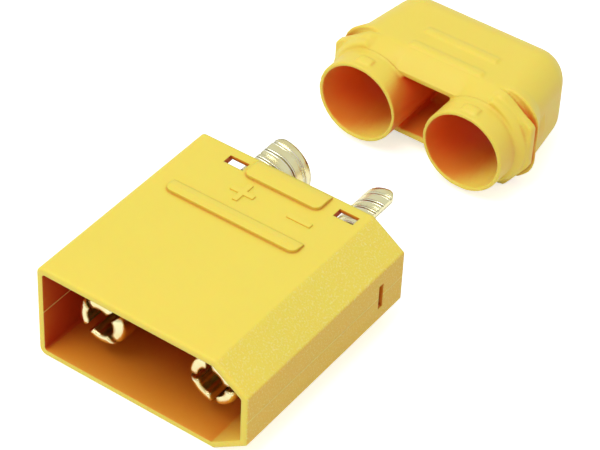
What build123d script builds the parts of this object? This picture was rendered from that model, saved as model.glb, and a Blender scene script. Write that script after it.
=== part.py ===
from build123d import *
import os

# Battery connector: a moulded housing with two pins and solder cups, and the end cap that
# snaps on behind it, drawn as it lies when it has been pulled straight back off the housing.
# Millimetres. X runs across the width, Y from the mating end to the cable end, Z up.
# The origin is under the middle of the whole length, on the surface that it lies on.

# Mating standard: contact centres and pin
contact_pitch = 10.9
pin_diameter = 4.5

# Housing, outside
housing_width = 20.5
housing_height = 9.3
housing_length = 21.0
bevel_across = 3.1
bevel_down = 2.15
square_corner = 0.7
bevel_corner = 0.3
rim_round = 0.2

# Housing, inside
housing_wall = 0.6
inner_corner = 0.3
shroud_depth = 13.0
bulkhead_thickness = 3.5

# Raised bar and raised pad on the top face
relief_height = 0.28
relief_corner = 0.6
bar_left = -8.05
bar_right = 4.8
bar_width = 1.4
bar_from_rear = 6.3
pad_left = -4.1
pad_right = 3.3
pad_length = 2.1
pad_from_rear = 0.25

# Windows for the cap's catches, and the slots in the side walls
window_width = 1.9
window_length = 1.0
window_from_rear = 0.9
lead_in_height = 0.25
side_slot_length = 0.6
side_slot_height = 2.4
side_slot_from_rear = 2.8

# Contacts
pin_setback = 1.8
pin_bore_diameter = 2.7
pin_bore_depth = 9.0
pin_nose = 0.55
bore_mouth = 0.3
leaf_slot_width = 0.65
leaf_slot_depth = 8.2
collar_diameter = 5.2
press_gap = 0.02
shoulder_diameter = 6.2
shoulder_thickness = 0.6
cup_diameter = 5.8
cup_wall = 0.55
cup_reach = 5.3
cup_floor = 0.9
cup_lip = 0.5
cup_corner = 0.8
cup_open_length = 7.0
cup_groove = 0.2
cup_groove_spacing = 1.9
cup_groove_count = 3
slot_turn_positive = 45
slot_turn_negative = 9

# Cap
cap_standoff = 16.1
cap_length = 13.2
cap_clearance = 0.1
tube_wall = 0.35
tube_length = 2.5
bead_thickness = 0.9
bead_inset = 0.1
bead_bevel = 0.5
flange_thickness = 0.8
flange_inset = 0.1
flange_corner = 0.7
groove_width = 0.45
groove_inset = 0.3
waist_length = 1.65
waist_inset = 0.85
body_round = 3.0
rear_inset = 1.8
pocket_half_height = 2.8
pocket_depth = 5.0
bore_straight = 4.65
throat_depth = 8.4
throat_radius = 3.2
throat_shift = 0.45
cable_diameter = 5.5
cable_pitch = 8.6
catch_width = 1.45
catch_length = 0.8
catch_height = 0.2
rib_width = 0.8
rib_height = 0.18
rib_length = 7.2
rib_shift = 0.4
rib_first = 4.95
rib_second = 7.35

# Worked out from the sizes above
axis_z = housing_height / 2
contact_x = contact_pitch / 2
half_width = housing_width / 2
overall_length = housing_length + cap_standoff + cap_length
front_y = -overall_length / 2
rear_y = front_y + housing_length
bulkhead_front = front_y + shroud_depth
bulkhead_rear = bulkhead_front + bulkhead_thickness
window_y = rear_y - window_from_rear - window_length / 2
pin_tip = front_y + pin_setback
cup_start = bulkhead_rear + shoulder_thickness
cup_end = rear_y + cup_reach
rim_y = rear_y + cap_standoff
bead_y = rim_y + tube_length
flange_y = bead_y + bead_thickness
groove_y = flange_y + flange_thickness
body_y = groove_y + groove_width
waist_y = body_y + waist_length
cap_end = rim_y + cap_length
tube_radius = axis_z - housing_wall - cap_clearance
bore_radius = tube_radius - tube_wall
flange_half = half_width - flange_inset
catch_y = rim_y + tube_length + window_y - rear_y
overshoot = 1.0


def across(y):
    """Plane that cuts square across the connector at y."""
    return Plane.XZ.offset(-y)


def keyed_outline(y, inset, left_corner, right_corner):
    """Housing outline: left corners square, right corners bevelled."""
    with BuildSketch(across(y)) as outline:
        with BuildLine():
            Polyline(
                (-half_width, 0),
                (half_width - bevel_across, 0),
                (half_width, bevel_down),
                (half_width, housing_height - bevel_down),
                (half_width - bevel_across, housing_height),
                (-half_width, housing_height),
                close=True,
            )
        make_face()
        if inset:
            offset(amount=-inset, kind=Kind.INTERSECTION, mode=Mode.REPLACE)
        fillet(outline.vertices().group_by(Axis.X)[0], left_corner)
        fillet(outline.vertices().filter_by_position(Axis.X, 0, half_width), right_corner)
    return outline.sketch


def bevelled_outline(y, half, corner):
    """Cap outline: all four corners bevelled."""
    with BuildSketch(across(y)) as outline:
        with Locations((0, axis_z)):
            Rectangle(2 * half, housing_height)
        chamfer(outline.vertices().group_by(Axis.X)[0], bevel_down, bevel_across)
        chamfer(outline.vertices().group_by(Axis.X)[-1], bevel_down, bevel_across)
        if corner:
            fillet(outline.vertices(), corner)
    return outline.sketch


def oval_outline(y, reach):
    """Cap outline with half-oval ends that reach this far out from the contact axes."""
    with BuildSketch(across(y)) as outline:
        with Locations((0, axis_z)):
            Rectangle(contact_pitch, housing_height)
        with Locations((-contact_x, axis_z), (contact_x, axis_z)):
            Ellipse(reach, axis_z)
    return outline.sketch


def disc(x, y, radius):
    """Round section about a lengthwise axis at x."""
    with BuildSketch(across(y)) as section:
        with Locations((x, axis_z)):
            Circle(radius)
    return section.sketch


def discs(y, radius):
    """The same round section about both contact axes."""
    with BuildSketch(across(y)) as section:
        with Locations((-contact_x, axis_z), (contact_x, axis_z)):
            Circle(radius)
    return section.sketch


def block(y, x, z, width, height):
    """Rectangular section centred on x and z."""
    with BuildSketch(across(y)) as section:
        with Locations((x, z)):
            Rectangle(width, height)
    return section.sketch


# Housing
with BuildPart() as housing:
    extrude(keyed_outline(front_y, 0, square_corner, bevel_corner), amount=-housing_length)
    fillet(housing.faces().sort_by(Axis.Y)[0].edges(), rim_round)

    # raised bar and raised pad, each with a slope behind that runs back into the top face
    with BuildSketch(Plane.XY.offset(housing_height)) as bar:
        with BuildLine():
            Polyline(
                (bar_left, rear_y - bar_from_rear - bar_width),
                (bar_right, rear_y - bar_from_rear - bar_width),
                (bar_right, rear_y - bar_from_rear),
                (bar_left, rear_y - bar_from_rear),
                close=True,
            )
        make_face()
        fillet(bar.vertices().group_by(Axis.Y)[0], relief_corner)
    extrude(bar.sketch, amount=relief_height, dir=(0, 0, 1))
    with BuildSketch(Plane.XY.offset(housing_height)) as pad:
        with BuildLine():
            Polyline(
                (pad_left, rear_y - pad_from_rear - pad_length),
                (pad_right, rear_y - pad_from_rear - pad_length),
                (pad_right, rear_y - pad_from_rear),
                (pad_left, rear_y - pad_from_rear),
                close=True,
            )
        make_face()
        fillet(pad.vertices().group_by(Axis.Y)[0], relief_corner)
    extrude(pad.sketch, amount=relief_height, dir=(0, 0, 1))
    relief_tops = housing.faces().filter_by(Plane.XY).sort_by(Axis.Z)[-2:]
    relief_slopes = relief_tops.edges().filter_by(Axis.X).group_by(Axis.Y)
    chamfer(relief_slopes[1] + relief_slopes[3], relief_height / 2, bar_width / 2)

    # cavity round the pins, cavity round the cups, and the two holes through the bulkhead
    extrude(
        keyed_outline(front_y, housing_wall, inner_corner, inner_corner),
        amount=-shroud_depth,
        mode=Mode.SUBTRACT,
    )
    extrude(
        keyed_outline(bulkhead_rear, housing_wall, inner_corner, inner_corner),
        amount=bulkhead_rear - rear_y,
        mode=Mode.SUBTRACT,
    )
    extrude(
        discs(bulkhead_front, collar_diameter / 2 + press_gap),
        amount=-bulkhead_thickness,
        mode=Mode.SUBTRACT,
    )

    # windows through top and bottom, with a lead-in behind each for the catch
    with BuildSketch(Plane.XY) as windows:
        with Locations((-contact_x, window_y), (contact_x, window_y)):
            Rectangle(window_width, window_length)
    extrude(windows.sketch, amount=housing_height, mode=Mode.SUBTRACT)
    for x in (-contact_x, contact_x):
        extrude(
            block(window_y, x, axis_z, window_width, housing_height - 2 * (housing_wall - lead_in_height)),
            amount=window_y - rear_y,
            mode=Mode.SUBTRACT,
        )

    # slots through the side walls
    slot_y = rear_y - side_slot_from_rear - side_slot_length / 2
    extrude(
        block(slot_y - side_slot_length / 2, 0, axis_z, housing_width, side_slot_height),
        amount=-side_slot_length,
        mode=Mode.SUBTRACT,
    )
housing.part.label = "housing"


# Contacts: a hollow pin in four leaves, a collar, a shoulder, and a solder cup open on one side
def contact(x, slot_turn, side):
    """One turned contact on the axis at x, its cup open towards side."""
    with BuildPart() as turned:
        # half profile, drawn midway between two saw cuts
        with BuildSketch(Plane((x, 0, axis_z)).rotated((0, 45 - slot_turn, 0))) as half:
            with BuildLine():
                Polyline(
                    (0, pin_tip),
                    (pin_diameter / 2, pin_tip),
                    (pin_diameter / 2, bulkhead_front),
                    (collar_diameter / 2, bulkhead_front),
                    (collar_diameter / 2, bulkhead_rear),
                    (shoulder_diameter / 2, bulkhead_rear),
                    (shoulder_diameter / 2, cup_start),
                    (cup_diameter / 2, cup_start),
                    (cup_diameter / 2, cup_end),
                    (0, cup_end),
                    close=True,
                )
            make_face()
            with Locations((pin_bore_diameter / 4, pin_tip + pin_bore_depth / 2)):
                Rectangle(pin_bore_diameter / 2, pin_bore_depth, mode=Mode.SUBTRACT)
            cup_bore = cup_diameter / 2 - cup_wall
            cup_depth = cup_end - cup_start - cup_floor
            with Locations((cup_bore / 2, cup_end - cup_depth / 2)):
                Rectangle(cup_bore, cup_depth, mode=Mode.SUBTRACT)
            for n in range(cup_groove_count):
                with Locations((cup_diameter / 2, cup_end - cup_corner - n * cup_groove_spacing)):
                    Rectangle(cup_groove, cup_groove, rotation=45, mode=Mode.SUBTRACT)
            tip = half.vertices().group_by(Axis.Y)[0].sort_by(Axis.X)
            fillet(tip[-1], pin_nose)
            chamfer(tip[0], bore_mouth)
        revolve(axis=Axis((x, 0, axis_z), (0, 1, 0)))

        # two crossed saw cuts part the pin into its four leaves
        for turn in (slot_turn, slot_turn + 90):
            with BuildSketch(across(pin_tip)) as saw:
                with Locations((x, axis_z)):
                    Rectangle(2 * pin_diameter, leaf_slot_width, rotation=turn)
            extrude(saw.sketch, amount=-leaf_slot_depth, mode=Mode.SUBTRACT)

        # the open side of the cup, with the corners of its end rounded
        with BuildSketch(Plane((x, 0, axis_z), x_dir=(side, 0, 0), z_dir=(0, 0, side))) as opening:
            with BuildLine():
                Polyline(
                    (cup_lip, cup_end - cup_corner),
                    (cup_lip, cup_end - cup_open_length),
                    (cup_diameter, cup_end - cup_open_length),
                    (cup_diameter, cup_end + overshoot),
                    (cup_lip - cup_corner, cup_end + overshoot),
                    (cup_lip - cup_corner, cup_end),
                )
                RadiusArc(
                    (cup_lip - cup_corner, cup_end), (cup_lip, cup_end - cup_corner), cup_corner
                )
            make_face()
        extrude(opening.sketch, amount=cup_diameter, both=True, mode=Mode.SUBTRACT)
    return turned.part


contact_positive = contact(-contact_x, slot_turn_positive, -1)
contact_positive.label = "contact_positive"
contact_negative = contact(contact_x, slot_turn_negative, 1)
contact_negative.label = "contact_negative"


# Cap
with BuildPart() as cap:
    # flared and tapered body, well rounded all round
    with BuildSketch() as body:
        with BuildLine():
            Polyline(
                (-flange_half, body_y),
                (flange_half, body_y),
                (flange_half - waist_inset, waist_y),
                (flange_half - rear_inset, cap_end),
                (rear_inset - flange_half, cap_end),
                (waist_inset - flange_half, waist_y),
                close=True,
            )
        make_face()
        fillet(body.vertices().group_by(Axis.Y)[-1], body_round)
    extrude(body.sketch, amount=housing_height)
    front_edges = cap.faces().sort_by(Axis.Y)[0].edges()
    fillet(cap.faces().filter_by(Axis.Z).edges() - front_edges, body_round)

    # groove behind the flange, flange, and a bead whose bevel fades out towards the top
    extrude(oval_outline(groove_y, flange_half - groove_inset - contact_x), amount=-groove_width)
    extrude(
        bevelled_outline(flange_y, flange_half, flange_corner),
        amount=-flange_thickness,
    )
    bead_back = oval_outline(bead_y + bead_bevel, axis_z - bead_inset)
    loft([oval_outline(bead_y, axis_z - bead_inset - bead_bevel), bead_back], ruled=True)
    extrude(bead_back, amount=bead_bevel - bead_thickness)

    # pocket between the tubes, then the two tubes and the catches on them
    extrude(
        block(bead_y, 0, axis_z, contact_pitch, 2 * pocket_half_height),
        amount=-pocket_depth,
        mode=Mode.SUBTRACT,
    )
    extrude(discs(rim_y, tube_radius), amount=rim_y - bead_y - pocket_depth)
    for x in (-contact_x, contact_x):
        extrude(
            block(catch_y - catch_length / 2, x, axis_z, catch_width, 2 * (tube_radius + catch_height)),
            amount=-catch_length,
        )

    # bores that go over the cups, narrowing to the cable holes at the rear
    extrude(discs(rim_y, bore_radius), amount=-bore_straight, mode=Mode.SUBTRACT)
    for side in (-1, 1):
        extrude(
            disc(side * (contact_x - throat_shift), rim_y, throat_radius),
            amount=-throat_depth,
            mode=Mode.SUBTRACT,
        )
        extrude(
            disc(side * cable_pitch / 2, cap_end, cable_diameter / 2),
            amount=cap_length - throat_depth,
            mode=Mode.SUBTRACT,
        )

    # two raised ribs across the top, each with a slope behind
    with BuildSketch(Plane.XY.offset(housing_height)) as ribs:
        with Locations((rib_shift, rim_y + rib_first), (rib_shift, rim_y + rib_second)):
            Rectangle(rib_length, rib_width)
    extrude(ribs.sketch, amount=rib_height)
    rib_tops = cap.faces().filter_by(Plane.XY).group_by(Axis.Z)[-1]
    rib_slopes = [top.edges().filter_by(Axis.X).sort_by(Axis.Y)[-1] for top in rib_tops]
    chamfer(rib_slopes, rib_height / 2, rib_width / 2)
cap.part.label = "cap"

os.makedirs("parts", exist_ok=True)
export_step(housing.part, "parts/housing.step")
export_step(contact_positive, "parts/contact_positive.step")
export_step(contact_negative, "parts/contact_negative.step")
export_step(cap.part, "parts/cap.step")
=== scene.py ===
import math

import bmesh
import bpy
from bpy.props import FloatProperty, FloatVectorProperty, IntProperty, PointerProperty
from bpy.types import Operator, Panel, PropertyGroup
from mathutils import Matrix, Vector


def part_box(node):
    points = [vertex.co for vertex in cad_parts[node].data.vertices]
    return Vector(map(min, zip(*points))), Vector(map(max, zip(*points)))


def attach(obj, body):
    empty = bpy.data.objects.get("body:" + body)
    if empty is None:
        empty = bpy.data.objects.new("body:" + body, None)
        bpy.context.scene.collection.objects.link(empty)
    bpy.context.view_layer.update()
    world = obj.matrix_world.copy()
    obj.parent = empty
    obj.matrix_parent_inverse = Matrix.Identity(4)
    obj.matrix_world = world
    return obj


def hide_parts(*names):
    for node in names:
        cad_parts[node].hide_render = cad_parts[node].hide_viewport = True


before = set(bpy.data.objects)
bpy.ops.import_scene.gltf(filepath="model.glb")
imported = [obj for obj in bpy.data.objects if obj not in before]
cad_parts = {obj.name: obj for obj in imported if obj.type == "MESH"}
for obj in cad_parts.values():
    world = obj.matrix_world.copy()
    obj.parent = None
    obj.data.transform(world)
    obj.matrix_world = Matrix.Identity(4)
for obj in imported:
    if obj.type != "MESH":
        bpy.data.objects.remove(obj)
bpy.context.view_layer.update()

bl_info = {
    "name": "Battery connector looks",
    "version": (1, 0, 0),
    "blender": (4, 5, 0),
    "location": "3D View > Sidebar > Connector",
    "description": "Nylon, gold plate, polarity signs and a pale studio for the battery connector",
    "category": "Object",
}

HOUSING_LOW, HOUSING_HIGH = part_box("housing")
CAP_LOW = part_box("cap")[0]
CONTACT_LOW, CONTACT_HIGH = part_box("contact_negative")

MM = 0.001

# the broad top face, and the plane of the contacts' axes half-way below it
TOP = HOUSING_LOW.z + 9.3 * MM
AXIS_Z = (HOUSING_LOW.z + TOP) / 2

# the cap's tubes, on the axes of the contacts, and how far the web keeps clear of them
TUBE_X = (CONTACT_LOW.x + CONTACT_HIGH.x) / 2
TUBE_RADIUS = 3.95 * MM
TUBE_LIP = 0.05 * MM
BORE_RADIUS = 3.6 * MM
BEAD_Y = CAP_LOW.y + 2.5 * MM
THROAT_Y = CAP_LOW.y + 4.65 * MM

# the cups stand out behind the housing, and their outer wall is this far from the axis
CUP_Y = HOUSING_HIGH.y - 2 * MM
CUP_WALL = 2.8 * MM

# how open to the light a face is when its painted shade starts to leave one colour, and when it has reached
# the next
DEEP_TO_SHADE = (-0.05, 0.22)
SHADE_TO_FREE = (0.32, 0.72)
CREASE_SHADE_TO_FREE = (0.4, 0.97)


# Settings


def colour_setting(name, default, description):
    return FloatVectorProperty(
        name=name, description=description, subtype="COLOR", size=3, min=0, max=1, default=default
    )


def length_setting(name, default, description):
    return FloatProperty(name=name, description=description, subtype="DISTANCE", default=default)


def share_setting(name, default, description):
    return FloatProperty(name=name, description=description, min=-1, max=1, default=default)


class NylonSettings(PropertyGroup):
    """Colours, painted shade and surface of the moulded nylon."""

    housing_colour: colour_setting(
        "Housing colour", (0.87, 0.7, 0.105), "Colour of the housing's free faces"
    )
    # the shade and deep colours are painted shade, put into the colour inside the housing's cavities
    housing_shade: colour_setting(
        "Housing shade", (0.76, 0.26, 0.022), "Colour just inside the housing's cavities"
    )
    housing_deep: colour_setting(
        "Housing deep", (0.5, 0.026, 0.007), "Colour at the bottom of the housing's cavities"
    )
    # painted shade: the bevelled side counts as less open so it is painted more orange, and the shift moves
    # every face's painted shade
    housing_far_shade: share_setting(
        "Housing far shade", 0.35, "How much less open the housing's bevelled side counts as"
    )
    housing_shift: share_setting(
        "Housing shift", -0.1, "How much more open every face of the housing counts as"
    )
    cap_colour: colour_setting("Cap colour", (0.88, 0.7, 0.11), "Colour of the cap's free faces")
    cap_shade: colour_setting(
        # the shade and deep colours are painted shade, put into the colour inside the cap's cavities and
        # tubes
        "Cap shade", (0.78, 0.22, 0.028), "Colour just inside the cap's cavities"
    )
    cap_deep: colour_setting(
        "Cap deep", (0.95, 0.13, 0.022), "Colour at the bottom of the cap's cavities"
    )
    # painted shade: the faces on that side count as less open so they are painted more orange
    cap_far_shade: share_setting(
        "Cap far shade", 0.45, "How much less open the cap's faces on the same side count as"
    )
    cap_shift: share_setting(
        "Cap shift", 0.07, "How much more open every face of the cap counts as"
    )
    shade_reach: length_setting(
        "Shade reach", 25 * MM, "How far a wall has to be not to shade the nylon"
    )
    relief_openness: share_setting(
        "Relief openness", 0.7, "How open the sides of the raised bars count as, at the least"
    )
    # painted shade in the creases: an ochre colour where walls stand near, at the feet of ridges and raised
    # bars
    crease_shade_colour: colour_setting(
        "Crease colour", (0.68, 0.4, 0.035), "Colour at the feet of ridges and raised bars"
    )
    crease_shade_reach: length_setting(
        "Crease reach", 0.9 * MM, "How near a wall has to be to make a crease"
    )
    # the specks are painted glints that the grain would catch
    speck_glint_colour: colour_setting(
        "Speck colour", (0.97, 0.87, 0.42), "Colour of the sparkling specks in the grain"
    )
    speck_glint_share: share_setting("Speck share", 0.5, "How strongly the specks show")
    seam_colour: colour_setting(
        "Seam colour", (0.98, 0.85, 0.3), "Colour of the parting line along the side walls"
    )
    seam_share: share_setting("Seam share", 0.6, "How strongly the parting line shows")
    seam_width: length_setting("Seam width", 0.04 * MM, "Width of the parting line")
    seam_edge: length_setting("Seam edge", 0.07 * MM, "Width of the soft edge on either side of it")
    seam_height: length_setting("Seam height", 0.05 * MM, "How far the parting line stands out")
    glow_depth: length_setting(
        "Glow depth", 0.8 * MM, "How deep red light goes into the nylon before it comes out again"
    )
    grain_size: length_setting(
        "Grain size", 0.16 * MM, "Size of the fine grain on the bevels and side walls"
    )
    grain_depth: length_setting("Grain depth", 0.045 * MM, "Depth of that grain")
    cloud_size: length_setting("Cloud size", 6 * MM, "Size of the faint clouds in the colour")
    gloss: share_setting("Roughness", 0.42, "Roughness of the smooth faces")
    grain_gloss: share_setting("Grain roughness", 0.12, "How much rougher the grained faces are")
    edge_radius: length_setting(
        "Edge radius", 0.22 * MM, "Radius that the light sees on the housing's edges"
    )


class PlateSettings(PropertyGroup):
    """Colour and finish of the gold-plated contacts, with painted shade and highlights at the cups'
    grooves.
    """

    colour: colour_setting("Plate colour", (0.98, 0.94, 0.56), "Colour of the gold plate")
    warmth: colour_setting(
        "Warmth", (0.97, 0.9, 0.75), "What the plate colour is multiplied by in the warmer blotches"
    )
    blotch_size: length_setting("Blotch size", 1.6 * MM, "Size of the warmer blotches")
    roughness: share_setting("Roughness", 0.16, "Roughness of the plate")
    turning_pitch: length_setting(
        "Turning pitch", 0.09 * MM, "Distance between the fine turning marks"
    )
    turning_depth: length_setting("Turning depth", 0.004 * MM, "Depth of those marks")
    edge_radius: length_setting(
        "Edge radius", 0.45 * MM, "Radius that the light sees on the edges of the pins and cups"
    )
    groove_pitch: length_setting(
        "Groove pitch", 1.15 * MM, "Distance between the dark turned grooves round the cups"
    )
    groove_wander: length_setting(
        "Groove wander", 0.5 * MM, "How far a groove strays from its place as it goes round"
    )
    groove_depth: length_setting("Groove depth", 0.03 * MM, "Depth of those grooves")
    # painted shade in the grooves and painted highlights on the lips beside them
    groove_shade_colour: colour_setting("Groove colour", (0.12, 0.09, 0.02), "Colour of those grooves")
    groove_shade_share: share_setting("Groove share", 0.85, "How strongly the grooves show")
    lip_highlight_colour: colour_setting("Lip colour", (1.0, 1.0, 0.9), "Colour of the lips beside the grooves")
    lip_highlight_share: share_setting("Lip share", 0.7, "How strongly the lips show")


class SignSettings(PropertyGroup):
    """The raised plus and minus signs on the top face."""

    size: length_setting("Size", 2.3 * MM, "Length of each stroke")
    stroke: length_setting("Stroke", 0.5 * MM, "Width of each stroke")
    height: length_setting("Height", 0.16 * MM, "How far the signs stand out of the top face")
    sink: length_setting("Sink", 0.1 * MM, "How far the signs reach down into the top face")
    edge_bevel: length_setting("Edge bevel", 0.07 * MM, "Size of the soft edge of the signs")
    spread: length_setting("Spread", 5.6 * MM, "Distance between the middles of the signs")
    from_rear: length_setting(
        "From rear", 4.15 * MM, "Distance from the housing's rear edge to the middle of the signs"
    )


class CapSettings(PropertyGroup):
    """Forms that the moulded cap has and the plain solid lacks."""

    web_drop: length_setting(
        "Web drop", 1.33 * MM, "How far the web between the tubes starts below the broad faces"
    )
    web_run: length_setting(
        "Web run", 2.0 * MM, "Length over which the web rises to the broad faces"
    )
    web_width: length_setting("Web width", 11.8 * MM, "Width of the web")
    web_fade: length_setting(
        "Web fade", 0.8 * MM, "Width over which each ridge comes out beside the web"
    )
    web_ease: FloatProperty(
        name="Web ease", description="How softly the web runs into the broad faces", min=1, default=1.3
    )
    facet: length_setting("Facet", 0.14 * MM, "Size of the mesh's facets")
    smoothing: IntProperty(
        name="Smoothing", description="How often the moulded edges are smoothed", min=0, default=1
    )


class StageSettings(PropertyGroup):
    """Camera, lamps and floor."""

    lens: FloatProperty(
        name="Lens", description="Focal length in millimetres", min=10, default=151.5
    )
    azimuth: FloatProperty(
        name="Azimuth",
        description="Direction of the camera round the connector",
        subtype="ANGLE",
        unit="ROTATION",
        default=math.radians(33.77),
    )
    elevation: FloatProperty(
        name="Elevation",
        description="Height of the camera above the horizon",
        subtype="ANGLE",
        unit="ROTATION",
        default=math.radians(41.1),
    )
    roll: FloatProperty(
        name="Roll",
        description="Turn of the camera about its line of sight",
        subtype="ANGLE",
        unit="ROTATION",
        default=math.radians(2.84),
    )
    distance: FloatProperty(
        name="Distance",
        description="Distance from the camera to its target",
        subtype="DISTANCE",
        default=207.1 * MM,
    )
    target: FloatVectorProperty(
        name="Target",
        description="Point that the camera looks at",
        subtype="TRANSLATION",
        unit="LENGTH",
        size=3,
        default=(0.25 * MM, HOUSING_LOW.y + 20.79 * MM, 4.82 * MM),
    )
    world_level: FloatProperty(
        name="World level", description="Strength of the even light all round", min=0, default=0.75
    )
    mirrored_world: FloatProperty(
        name="Mirrored world",
        description="How far the even light is raised towards white in reflections",
        min=0,
        default=0.4,
    )
    key_power: FloatProperty(
        name="Key power", description="Power of the large round lamp, in watts", min=0, default=0.5
    )
    key_width: length_setting("Key width", 0.22, "Width of the large round lamp")
    key_place: FloatVectorProperty(
        name="Key place",
        description="Middle of the large round lamp, above and in front of the connector",
        subtype="TRANSLATION",
        unit="LENGTH",
        size=3,
        default=(-0.04, -0.12, 0.3),
    )
    floor_size: length_setting("Floor size", 3.0, "Distance from the middle of the floor to its edge")
    floor_level: FloatProperty(
        name="Floor level", description="Brightness of the pale floor", min=0, max=1, default=0.88
    )
    floor_glow: FloatProperty(
        name="Floor glow",
        description="Light added to the floor where it is seen, so that it shows white",
        min=0,
        default=0.6,
    )
    mirrored_floor: FloatProperty(
        name="Mirrored floor",
        description="Share of that light in reflections of the floor",
        min=0,
        max=1,
        default=0.3,
    )


# Shader building


class Nodes:
    """Short ways to build one material's node tree."""

    def __init__(self, name):
        self.material = bpy.data.materials.new(name)
        self.material.use_nodes = True
        self.tree = self.material.node_tree
        self.tree.nodes.clear()

    def add(self, kind, **values):
        node = self.tree.nodes.new(kind)
        for key, value in values.items():
            setattr(node, key, value)
        return node

    def link(self, out, into):
        self.tree.links.new(out, into)

    def feed(self, value, socket):
        if isinstance(value, bpy.types.NodeSocket):
            self.link(value, socket)
        else:
            socket.default_value = value

    def math(self, operation, a, b=0.0, c=0.0):
        node = self.add("ShaderNodeMath", operation=operation)
        for value, socket in zip((a, b, c), node.inputs):
            self.feed(value, socket)
        return node.outputs[0]

    def step(self, value, low, high):
        node = self.add("ShaderNodeMapRange", interpolation_type="SMOOTHSTEP")
        self.feed(value, node.inputs["Value"])
        node.inputs["From Min"].default_value = low
        node.inputs["From Max"].default_value = high
        return node.outputs["Result"]

    def mix(self, factor, a, b):
        node = self.add("ShaderNodeMix", data_type="RGBA")
        self.feed(factor, node.inputs["Factor"])
        for value, socket in ((a, node.inputs["A"]), (b, node.inputs["B"])):
            self.feed(value, socket)
        return node.outputs["Result"]

    def place(self):
        where = self.add("ShaderNodeTexCoord").outputs["Object"]
        split = self.add("ShaderNodeSeparateXYZ")
        self.link(where, split.inputs[0])
        return where, split.outputs

    def facing(self):
        split = self.add("ShaderNodeSeparateXYZ")
        self.link(self.add("ShaderNodeNewGeometry").outputs["Normal"], split.inputs[0])
        return split.outputs

    def noise(self, where, size, detail=3.0):
        node = self.add("ShaderNodeTexNoise")
        self.link(where, node.inputs["Vector"])
        node.inputs["Scale"].default_value = 1 / size
        node.inputs["Detail"].default_value = detail
        return node.outputs["Fac"]

    def openness(self, reach):
        """1 where no wall of the same piece is within reach, 0 where they close it in."""
        node = self.add("ShaderNodeAmbientOcclusion", samples=12, only_local=True)
        node.inputs["Distance"].default_value = reach
        return node.outputs["AO"]

    def soft_edges(self, radius):
        """The surface's normal, rolled over every edge as if it had that radius."""
        node = self.add("ShaderNodeBevel", samples=8)
        node.inputs["Radius"].default_value = radius
        return node.outputs["Normal"]

    def bump(self, height, distance, strength=1.0, normal=None):
        node = self.add("ShaderNodeBump")
        self.feed(height, node.inputs["Height"])
        self.feed(strength, node.inputs["Strength"])
        node.inputs["Distance"].default_value = distance
        if normal is not None:
            self.link(normal, node.inputs["Normal"])
        return node.outputs["Normal"]

    def finish(self, shader):
        self.link(shader, self.add("ShaderNodeOutputMaterial").inputs["Surface"])
        return self.material


def opaque(colour):
    return (*colour, 1.0)


def nylon(name, piece, settings, grained=False, raised=False):
    """Moulded nylon with painted shade: orange and red painted into its colour where its own walls close it
    in.

    A raised sign has no walls of its own, so there the sides get the painted shade of the foot, by how far
    they turn from upwards.
    """
    n = Nodes(name)
    where, place = n.place()
    facing = n.facing()
    # how closed in a face is, or for a sign how far it turns from upwards, sets how much painted shade goes
    # into its colour
    if raised:
        walls = None
        openness = n.step(facing[2], -1.0, 0.95)
    else:
        walls = n.openness(settings.shade_reach)
        openness = how_open(n, piece, settings, walls, place, facing)
    base = nylon_colour_and_shade(n, piece, settings, where, openness, crease_shaded=not raised)
    shader = n.add("ShaderNodeBsdfPrincipled")
    grain = n.noise(where, settings.grain_size, 4.0)
    if grained:
        # the grain is on the bevels and the side wall beside them, and not in the cavities; paler specks in
        # it are painted glints
        level = n.math("MULTIPLY", n.step(facing[0], 0.2, 0.5), n.step(walls, 0.5, 0.8))
        speck_glint = n.math("MULTIPLY", n.step(grain, 0.5, 0.72), level)
        speck_glint = n.math("MULTIPLY", speck_glint, settings.speck_glint_share)
        base = n.mix(speck_glint, base, opaque(settings.speck_glint_colour))
        seam = parting_line(n, settings, place, facing)
        base = n.mix(n.math("MULTIPLY", seam, settings.seam_share), base, opaque(settings.seam_colour))
        depth = n.math("ADD", 0.08, n.math("MULTIPLY", level, 0.9))
        normal = n.bump(grain, settings.grain_depth, depth, n.soft_edges(settings.edge_radius))
        normal = n.bump(seam, settings.seam_height, 1.0, normal)
        rough = n.math("ADD", settings.gloss, n.math("MULTIPLY", level, settings.grain_gloss))
        n.link(rough, shader.inputs["Roughness"])
    else:
        normal = n.bump(grain, settings.grain_depth * 0.3, 0.2)
        shader.inputs["Roughness"].default_value = settings.gloss
    n.link(base, shader.inputs["Base Color"])
    n.link(normal, shader.inputs["Normal"])
    shader.inputs["Specular IOR Level"].default_value = 0.25
    shader.inputs["Subsurface Weight"].default_value = 0.0 if raised else 0.4
    shader.inputs["Subsurface Radius"].default_value = (1.0, 0.35, 0.05)
    shader.inputs["Subsurface Scale"].default_value = settings.glow_depth
    return n.finish(shader.outputs[0])


def how_open(n, piece, settings, walls, place, facing):
    """How open a face counts as for the painted shade, with less for the bevelled side so it is painted
    more orange, and enough for the raised bars.
    """
    far_shade = getattr(settings, f"{piece}_far_shade")
    # painted shade by direction: faces turned towards +x count as less open, so they are painted darker and
    # more orange
    openness = n.math("SUBTRACT", walls, n.math("MULTIPLY", facing[0], far_shade))
    openness = n.math("ADD", openness, getattr(settings, f"{piece}_shift"))
    relief = n.step(place[2], TOP, TOP + 0.02 * MM)
    return n.math("MAXIMUM", openness, n.math("MULTIPLY", relief, settings.relief_openness))


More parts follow.
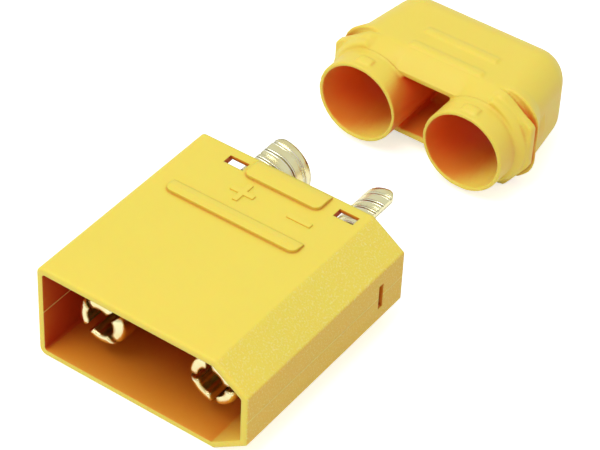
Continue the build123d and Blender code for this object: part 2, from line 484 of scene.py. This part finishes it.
def nylon_colour_and_shade(n, piece, settings, where, openness, crease_shaded):
    """Faint clouds in the nylon's own colour, with painted shade from deep red at the bottom of a cavity
    over orange to the yellow of the free faces.
    """
    free, shade, deep = (getattr(settings, f"{piece}_{part}") for part in ("colour", "shade", "deep"))
    pale = tuple(min(1.0, c * 1.04) for c in free)
    base = n.mix(n.noise(where, settings.cloud_size, 2.0), opaque(free), opaque(pale))
    if crease_shaded:
        # painted shade at the feet of ridges and raised bars, where near walls close a face in
        crease = n.step(n.openness(settings.crease_shade_reach), *CREASE_SHADE_TO_FREE)
        base = n.mix(crease, opaque(settings.crease_shade_colour), base)
    # painted shade: orange where walls close a face in, deep red where they close it in most
    base = n.mix(n.step(openness, *SHADE_TO_FREE), opaque(shade), base)
    return n.mix(n.step(openness, *DEEP_TO_SHADE), opaque(deep), base)


def parting_line(n, settings, place, facing):
    """1 on the line where the mould's halves met, half-way up the side walls."""
    half = settings.seam_width / 2
    away = n.math("ABSOLUTE", n.math("SUBTRACT", place[2], AXIS_Z))
    upright = n.step(n.math("ABSOLUTE", facing[0]), 0.8, 0.9)
    return n.math("MULTIPLY", n.step(away, half + settings.seam_edge, half), upright)


def gold_plate(name, settings):
    """Bright plate with fine turning marks, and wider grooves round the cups with painted shade in them and
    painted highlights on the lips beside them.
    """
    n = Nodes(name)
    where, place = n.place()
    groove, lip_and_highlight = cup_rings(n, settings, where, place)
    blotch = n.step(n.noise(where, settings.blotch_size, 3.0), 0.35, 0.7)
    warm = tuple(c * w for c, w in zip(settings.colour, settings.warmth))
    base = n.mix(blotch, opaque(settings.colour), opaque(warm))
    # painted highlights on the lips and painted shade in the grooves
    base = n.mix(n.math("MULTIPLY", lip_and_highlight, settings.lip_highlight_share), base, opaque(settings.lip_highlight_colour))
    groove_shade_share = n.math("MULTIPLY", groove, settings.groove_shade_share)
    base = n.mix(groove_shade_share, base, opaque(settings.groove_shade_colour))
    ring = n.math("SINE", n.math("MULTIPLY", place[1], math.tau / settings.turning_pitch))
    normal = n.bump(ring, settings.turning_depth, 0.35, n.soft_edges(settings.edge_radius))
    normal = n.bump(n.math("SUBTRACT", lip_and_highlight, groove), settings.groove_depth, 1.0, normal)
    shader = n.add("ShaderNodeBsdfPrincipled")
    n.link(base, shader.inputs["Base Color"])
    n.link(normal, shader.inputs["Normal"])
    shader.inputs["Metallic"].default_value = 1.0
    shader.inputs["Roughness"].default_value = settings.roughness
    return n.finish(shader.outputs[0])


def cup_rings(n, settings, where, place):
    """The grooves and the lips beside them, on the outside of the cups only, for their bumps and for
    painted shade in the grooves and painted highlights on the lips.
    """
    wander = n.math("MULTIPLY", n.noise(where, 3 * MM, 1.0), settings.groove_wander)
    turn = n.math("DIVIDE", n.math("ADD", place[1], wander), settings.groove_pitch)
    turn = n.math("ABSOLUTE", n.math("SUBTRACT", n.math("FRACT", turn), 0.5))
    beside = n.math("SUBTRACT", n.math("ABSOLUTE", place[0]), TUBE_X)
    above = n.math("SUBTRACT", place[2], AXIS_Z)
    squares = n.math("ADD", n.math("MULTIPLY", beside, beside), n.math("MULTIPLY", above, above))
    outside = n.step(n.math("SQRT", squares), CUP_WALL, CUP_WALL + 0.1 * MM)
    on_cup = n.math("MULTIPLY", n.step(place[1], CUP_Y, CUP_Y + 0.5 * MM), outside)
    groove = n.math("MULTIPLY", n.step(turn, 0.06, 0.02), on_cup)
    from_lip = n.math("ABSOLUTE", n.math("SUBTRACT", turn, 0.13))
    lip_and_highlight = n.math("MULTIPLY", n.step(from_lip, 0.07, 0.02), on_cup)
    return groove, lip_and_highlight


def paint(thing, material):
    """Gives the whole of a piece one material."""
    thing.data.materials.clear()
    thing.data.materials.append(material)


def new_mesh(name, mesh_maker):
    """A mesh made by a function that fills a bmesh."""
    mesh = bpy.data.meshes.new(name)
    bm = bmesh.new()
    mesh_maker(bm)
    bmesh.ops.recalc_face_normals(bm, faces=bm.faces)
    bm.to_mesh(mesh)
    bm.free()
    return mesh


def remeshed(mesh, facet):
    """The same closed form in even square facets."""
    holder = bpy.data.objects.new(mesh.name, mesh)
    bpy.context.scene.collection.objects.link(holder)
    remesh = holder.modifiers.new("even facets", "REMESH")
    remesh.mode = "VOXEL"
    remesh.voxel_size = facet
    seen = holder.evaluated_get(bpy.context.evaluated_depsgraph_get())
    even = bpy.data.meshes.new_from_object(seen)
    bpy.data.objects.remove(holder)
    bpy.data.meshes.remove(mesh)
    return even


def new_piece(name, mesh_maker, body, material, smooth=False):
    """A piece in the row frame, made by a function that fills a bmesh."""
    mesh = new_mesh(name, mesh_maker)
    for face in mesh.polygons:
        face.use_smooth = smooth
    thing = bpy.data.objects.new(name, mesh)
    bpy.context.scene.collection.objects.link(thing)
    mesh.materials.append(material)
    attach(thing, body)
    return thing


def cut(bm, faces, place, direction):
    """Parts the given faces along a plane, and takes nothing away."""
    edges = {e for f in faces for e in f.edges}
    verts = {v for f in faces for v in f.verts}
    bmesh.ops.bisect_plane(
        bm, geom=[*verts, *edges, *faces], dist=0.001 * MM, plane_co=place, plane_no=direction
    )


# Operators


class CONNECTOR_OT_nylon(Operator):
    """Give the housing its moulded nylon"""

    bl_idname = "connector.nylon"
    bl_label = "Nylon"

    def execute(self, context):
        settings = context.scene.connector_nylon
        paint(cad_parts["housing"], nylon("housing nylon", "housing", settings, grained=True))
        return {"FINISHED"}


class CONNECTOR_OT_cap(Operator):
    """Mould the cap: webs that slope down between its tubes, and bores that narrow inwards"""

    bl_idname = "connector.cap"
    bl_label = "Moulded cap"

    def execute(self, context):
        settings = context.scene.connector_cap
        skin = nylon("cap nylon", "cap", context.scene.connector_nylon)

        def bored(bm):
            bm.from_mesh(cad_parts["cap"].data)
            bmesh.ops.remove_doubles(bm, verts=bm.verts, dist=0.002 * MM)
            for side in (-1, 1):
                self.taper_bore(bm, side * TUBE_X)

        def softened(bm):
            bm.from_mesh(even)
            for v in bm.verts:
                v.co.z = self.web_level(v.co, settings)
            for _ in range(settings.smoothing):
                bmesh.ops.smooth_vert(
                    bm, verts=bm.verts, factor=0.5, use_axis_x=True, use_axis_y=True, use_axis_z=True
                )

        even = remeshed(new_mesh("bored cap", bored), settings.facet)
        piece = new_piece("cap_moulding", softened, "cap", skin, smooth=True)
        bpy.data.meshes.remove(even)
        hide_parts("cap")
        return {"FINISHED"}

    def taper_bore(self, bm, x):
        """Takes out the straight part of a bore with the step behind it, and bridges rim and throat."""
        slack = 0.1 * MM

        def from_axis(f):
            return [math.hypot(v.co.x - x, v.co.z - AXIS_Z) for v in f.verts]

        bore = [f for f in bm.faces if max(from_axis(f)) < BORE_RADIUS + slack]
        cut(bm, bore, (0, THROAT_Y, 0), (0, 1, 0))
        wall = [
            f for f in bm.faces
            if max(from_axis(f)) < BORE_RADIUS + slack
            and max(v.co.y for v in f.verts) < THROAT_Y + slack
            and (min(from_axis(f)) > BORE_RADIUS - slack or min(v.co.y for v in f.verts) > THROAT_Y - slack)
        ]
        rim_and_throat = {e for f in wall for e in f.edges}
        bmesh.ops.delete(bm, geom=wall, context="FACES")
        rim_and_throat = [e for e in rim_and_throat if e.is_valid and e.is_boundary]
        bmesh.ops.bridge_loops(bm, edges=rim_and_throat)

    def web_level(self, co, settings):
        """Height of a point of the cap once its front slopes down to the webs."""
        full = TOP - AXIS_Z
        along = (co.y - BEAD_Y) / settings.web_run
        height = abs(co.z - AXIS_Z)
        if not -0.001 < along < 1:
            return co.z
        beside = abs(abs(co.x) - TUBE_X)
        tube = math.sqrt(max(0, TUBE_RADIUS ** 2 - beside ** 2)) + TUBE_LIP
        low = max(full - settings.web_drop, tube)
        rise = 1 - (1 - max(0, along)) ** settings.web_ease
        level = low + (full - low) * rise
        if height <= level:
            return co.z
        out = (abs(co.x) - settings.web_width / 2) / settings.web_fade
        out = min(1, max(0, out))
        height = level + (height - level) * out * out * (3 - 2 * out)
        return AXIS_Z + math.copysign(height, co.z - AXIS_Z)


class CONNECTOR_OT_plate(Operator):
    """Give both contacts their gold plate"""

    bl_idname = "connector.plate"
    bl_label = "Gold plate"

    def execute(self, context):
        plate = gold_plate("gold plate", context.scene.connector_plate)
        for name in ("contact_positive", "contact_negative"):
            paint(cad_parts[name], plate)
        return {"FINISHED"}


class CONNECTOR_OT_signs(Operator):
    """Raise a plus and a minus sign on the top face"""

    bl_idname = "connector.signs"
    bl_label = "Polarity signs"

    def execute(self, context):
        settings = context.scene.connector_signs
        skin = nylon("sign nylon", "housing", context.scene.connector_nylon, raised=True)
        rear = HOUSING_HIGH.y - settings.from_rear
        stations = [
            side * length / 2
            for side, length in (
                (-1, settings.size), (-1, settings.stroke), (1, settings.stroke), (1, settings.size)
            )
        ]

        def sign(bm, x, strokes):
            """A grid of three by three faces, less those outside the strokes, drawn up and softened."""
            bmesh.ops.create_grid(bm, x_segments=3, y_segments=3, size=1.5)
            for v in bm.verts:
                v.co = (stations[round(v.co.x + 1.5)], stations[round(v.co.y + 1.5)], 0)
            half = settings.stroke / 2
            spare = [
                f for f in bm.faces
                if abs(f.calc_center_median()[1]) > half
                and (strokes == 1 or abs(f.calc_center_median()[0]) > half)
            ]
            bmesh.ops.delete(bm, geom=spare, context="FACES")
            bmesh.ops.translate(bm, verts=bm.verts, vec=(x, rear, TOP - settings.sink))
            grown = bmesh.ops.extrude_face_region(bm, geom=bm.faces[:], use_keep_orig=True)
            raised = [e for e in grown["geom"] if isinstance(e, bmesh.types.BMVert)]
            bmesh.ops.translate(bm, verts=raised, vec=(0, 0, settings.height + settings.sink))
            bmesh.ops.dissolve_limit(bm, angle_limit=math.radians(1), verts=bm.verts, edges=bm.edges)
            edges = [e for e in bm.edges if max(v.co.z for v in e.verts) > TOP]
            bmesh.ops.bevel(
                bm, geom=edges, offset=settings.edge_bevel, segments=3, profile=0.5,
                affect="EDGES", material=-1,
            )

        def plus(bm):
            sign(bm, -settings.spread / 2, 2)

        def minus(bm):
            sign(bm, settings.spread / 2, 1)

        for name, maker in (("sign_plus", plus), ("sign_minus", minus)):
            new_piece(name, maker, "housing", skin)
        return {"FINISHED"}


class CONNECTOR_OT_stage(Operator):
    """Put the connector on a pale floor under soft light, with the camera"""

    bl_idname = "connector.stage"
    bl_label = "Stage"

    def execute(self, context):
        settings = context.scene.connector_stage
        self.floor(settings)
        self.world(context, settings)
        self.lamps(context, settings)
        self.camera(context, settings)
        return {"FINISHED"}

    def floor(self, settings):
        n = Nodes("white floor")
        ray = n.add("ShaderNodeLightPath")
        mirrored = n.math("MULTIPLY", ray.outputs["Is Glossy Ray"], settings.mirrored_floor)
        seen = n.math("MAXIMUM", ray.outputs["Is Camera Ray"], mirrored)
        seen = n.math("MAXIMUM", seen, ray.outputs["Is Transmission Ray"])
        surface = n.add("ShaderNodeBsdfDiffuse")
        surface.inputs["Color"].default_value = opaque([settings.floor_level] * 3)
        glow = n.add("ShaderNodeEmission")
        n.link(n.math("MULTIPLY", seen, settings.floor_glow), glow.inputs["Strength"])
        both = n.add("ShaderNodeAddShader")
        n.link(surface.outputs[0], both.inputs[0])
        n.link(glow.outputs[0], both.inputs[1])
        white = n.finish(both.outputs[0])
        mesh = bpy.data.meshes.new("floor")
        bm = bmesh.new()
        bmesh.ops.create_grid(bm, x_segments=1, y_segments=1, size=settings.floor_size)
        bm.to_mesh(mesh)
        bm.free()
        mesh.materials.append(white)
        floor = bpy.data.objects.new("floor", mesh)
        bpy.context.scene.collection.objects.link(floor)

    def world(self, context, settings):
        world = bpy.data.worlds.new("studio")
        context.scene.world = world
        world.use_nodes = True
        tree = world.node_tree
        tree.nodes.clear()
        ray = tree.nodes.new("ShaderNodeLightPath")
        seen = tree.nodes.new("ShaderNodeMath")
        seen.operation = "MAXIMUM"
        tree.links.new(ray.outputs["Is Camera Ray"], seen.inputs[0])
        tree.links.new(ray.outputs["Is Transmission Ray"], seen.inputs[1])
        mirrored = tree.nodes.new("ShaderNodeMath")
        mirrored.operation = "MULTIPLY_ADD"
        tree.links.new(ray.outputs["Is Glossy Ray"], mirrored.inputs[0])
        mirrored.inputs[1].default_value = settings.mirrored_world
        tree.links.new(seen.outputs[0], mirrored.inputs[2])
        level = tree.nodes.new("ShaderNodeMapRange")
        tree.links.new(mirrored.outputs[0], level.inputs["Value"])
        level.inputs["To Min"].default_value = settings.world_level
        level.inputs["To Max"].default_value = 1.0
        sky = tree.nodes.new("ShaderNodeBackground")
        tree.links.new(level.outputs["Result"], sky.inputs["Strength"])
        out = tree.nodes.new("ShaderNodeOutputWorld")
        tree.links.new(sky.outputs[0], out.inputs["Surface"])

    def lamps(self, context, settings):
        data = bpy.data.lights.new("key", "AREA")
        data.shape = "DISK"
        data.size = settings.key_width
        data.energy = settings.key_power
        lamp = bpy.data.objects.new("key", data)
        lamp.location = settings.key_place
        lamp.rotation_mode = "QUATERNION"
        lamp.rotation_quaternion = Vector(settings.key_place).to_track_quat("Z", "Y")
        context.scene.collection.objects.link(lamp)

    def camera(self, context, settings):
        a, e, r = settings.azimuth, settings.elevation, settings.roll
        back = Vector((math.sin(a) * math.cos(e), -math.cos(a) * math.cos(e), math.sin(e)))
        right = Vector((math.cos(a), math.sin(a), 0))
        up = back.cross(right)
        right, up = (
            math.cos(r) * right + math.sin(r) * up,
            math.cos(r) * up - math.sin(r) * right,
        )
        data = bpy.data.cameras.new("camera")
        data.sensor_width = 36
        data.lens = settings.lens
        data.clip_start = 1 * MM
        data.clip_end = 20
        camera = bpy.data.objects.new("camera", data)
        turn = Matrix((right, up, back)).transposed().to_4x4()
        camera.matrix_world = (
            Matrix.Translation(Vector(settings.target) + settings.distance * back) @ turn
        )
        context.scene.collection.objects.link(camera)
        context.scene.camera = camera


class CONNECTOR_PT_looks(Panel):
    """Lists the connector's pieces and their settings"""

    bl_idname = "CONNECTOR_PT_looks"
    bl_label = "Battery connector"
    bl_space_type = "VIEW_3D"
    bl_region_type = "UI"
    bl_category = "Connector"

    def draw(self, context):
        for attribute, operator in PAIRS:
            box = self.layout.box()
            group = getattr(context.scene, attribute)
            for key in group.bl_rna.properties.keys():
                if key not in ("rna_type", "name"):
                    box.prop(group, key)
            box.operator(operator)


PAIRS = (
    ("connector_nylon", "connector.nylon"),
    ("connector_cap", "connector.cap"),
    ("connector_plate", "connector.plate"),
    ("connector_signs", "connector.signs"),
    ("connector_stage", "connector.stage"),
)
GROUPS = {
    "connector_nylon": NylonSettings,
    "connector_cap": CapSettings,
    "connector_plate": PlateSettings,
    "connector_signs": SignSettings,
    "connector_stage": StageSettings,
}
CLASSES = (
    *GROUPS.values(),
    CONNECTOR_OT_nylon,
    CONNECTOR_OT_cap,
    CONNECTOR_OT_plate,
    CONNECTOR_OT_signs,
    CONNECTOR_OT_stage,
    CONNECTOR_PT_looks,
)


def register():
    for cls in CLASSES:
        bpy.utils.register_class(cls)
    for attribute, group in GROUPS.items():
        setattr(bpy.types.Scene, attribute, PointerProperty(type=group))


def unregister():
    for attribute in GROUPS:
        delattr(bpy.types.Scene, attribute)
    for cls in reversed(CLASSES):
        bpy.utils.unregister_class(cls)


def main():
    register()
    scene = bpy.context.scene
    scene.view_settings.view_transform = "Standard"
    bpy.ops.connector.nylon()
    bpy.ops.connector.cap()
    bpy.ops.connector.plate()
    bpy.ops.connector.signs()
    bpy.ops.connector.stage()


if __name__ == "__main__":
    main()
